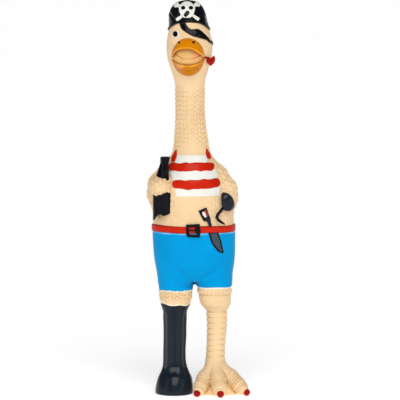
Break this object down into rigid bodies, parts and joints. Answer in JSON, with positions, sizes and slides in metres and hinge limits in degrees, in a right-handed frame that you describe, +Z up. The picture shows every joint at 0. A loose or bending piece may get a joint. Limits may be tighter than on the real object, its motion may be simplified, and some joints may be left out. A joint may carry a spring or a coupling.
{
  "type": "rubber chicken",
  "caption": "Standing latex rubber chicken dressed as a pirate, with bending neck and legs and a back wall that presses in to work a squeaker.",
  "frame": {"origin": "middle of the bounding box on the floor the toy stands on", "axes": "+Z up along the body, -Y the way the bird faces, +X the bird's own left side"},
  "size_m": [0.1108, 0.0746, 0.4263],
  "materials": {
    "skin_latex": "satin moulded latex, peach cream",
    "blue_latex": "glossy painted latex, sky blue",
    "red_latex": "glossy painted latex, red",
    "nail_red_latex": "glossy painted latex, dark red",
    "white_latex": "satin painted latex, white",
    "black_latex": "glossy painted latex, black",
    "grip_red_latex": "satin painted latex, red brown",
    "grey_latex": "satin painted latex, warm grey",
    "orange_latex": "satin painted latex, orange",
    "lining_latex": "satin painted latex, light peach",
    "squeaker_plastic": "smooth moulded plastic, off white"
  },
  "bodies": {
    "torso": {"torso_skin": "skin_latex", "shorts": "blue_latex", "belt": "red_latex", "belt_buckle": "black_latex", "buckle_prong": "black_latex", "shirt": "white_latex", "red_stripe_upper": "red_latex", "red_stripe_lower": "red_latex", "collar_drop_right": "red_latex", "collar_drop_left": "red_latex", "dagger_grip": "black_latex", "dagger_inlay_white": "white_latex", "dagger_inlay_red": "grip_red_latex", "dagger_bolster": "black_latex", "dagger_blade": "grey_latex", "right_wing": "skin_latex", "bottle": "black_latex", "left_wing": "skin_latex", "hook_cup": "black_latex", "hook": "black_latex"},
    "back_wall": {"back_panel": "skin_latex", "seat_panel": "blue_latex", "belt_back": "red_latex", "squeaker_drum": "squeaker_plastic", "squeaker_lid": "squeaker_plastic", "reed_seat": "squeaker_plastic"},
    "reed": {"reed": "squeaker_plastic"},
    "neck_lower": {"neck_lower": "skin_latex"},
    "neck_upper": {"neck_upper": "skin_latex"},
    "head": {"head_skin": "skin_latex", "hat": "black_latex", "hat_skull": "white_latex", "hat_crossbones": "white_latex", "skull_sockets": "black_latex", "eye_white": "white_latex", "eye_pupil": "black_latex", "eye_patch": "black_latex", "patch_strap": "black_latex", "upper_beak": "orange_latex", "lower_beak": "orange_latex", "mouth_lining": "lining_latex", "nostrils": "black_latex", "tongue_tip": "red_latex"},
    "boot_leg": {"right_thigh": "skin_latex", "boot": "black_latex"},
    "foot_leg": {"left_thigh": "skin_latex", "shank": "skin_latex", "foot": "skin_latex", "inner_toe": "skin_latex", "inner_toe_nail": "nail_red_latex", "middle_toe": "skin_latex", "middle_toe_nail": "nail_red_latex", "outer_toe": "skin_latex", "outer_toe_nail": "nail_red_latex"}
  },
  "joints": [
    {"name": "back_squeeze", "type": "slide", "parent": "torso", "child": "back_wall", "axis": [0, -1, 0], "range_m": [0, 0.009], "stiffness_N_per_m": 1100},
    {"name": "reed_flutter", "type": "hinge", "parent": "back_wall", "child": "reed", "pos_m": [-0.0062, 0.0245, 0.16375], "axis": [1, 0, 0], "range_deg": [-4, 4], "stiffness_Nm_per_rad": 0.0005},
    {"name": "neck_base_nod", "type": "hinge", "parent": "torso", "child": "neck_lower", "pos_m": [-0.0087, 0.001, 0.2755], "axis": [1, 0, 0], "range_deg": [-40, 40], "stiffness_Nm_per_rad": 1.2},
    {"name": "neck_sway", "type": "hinge", "parent": "neck_lower", "child": "neck_upper", "pos_m": [-0.0099, 0.001, 0.3045], "axis": [0, 1, 0], "range_deg": [-35, 35], "stiffness_Nm_per_rad": 1},
    {"name": "head_nod", "type": "hinge", "parent": "neck_upper", "child": "head", "pos_m": [-0.01, 0.001, 0.3335], "axis": [1, 0, 0], "range_deg": [-35, 35], "stiffness_Nm_per_rad": 0.8},
    {"name": "boot_leg_swing", "type": "hinge", "parent": "torso", "child": "boot_leg", "pos_m": [-0.0256, 0.002, 0.101], "axis": [1, 0, 0], "range_deg": [-35, 35], "stiffness_Nm_per_rad": 6},
    {"name": "foot_leg_swing", "type": "hinge", "parent": "torso", "child": "foot_leg", "pos_m": [0.0169, 0.002, 0.104], "axis": [1, 0, 0], "range_deg": [-35, 35], "stiffness_Nm_per_rad": 6}
  ]
}
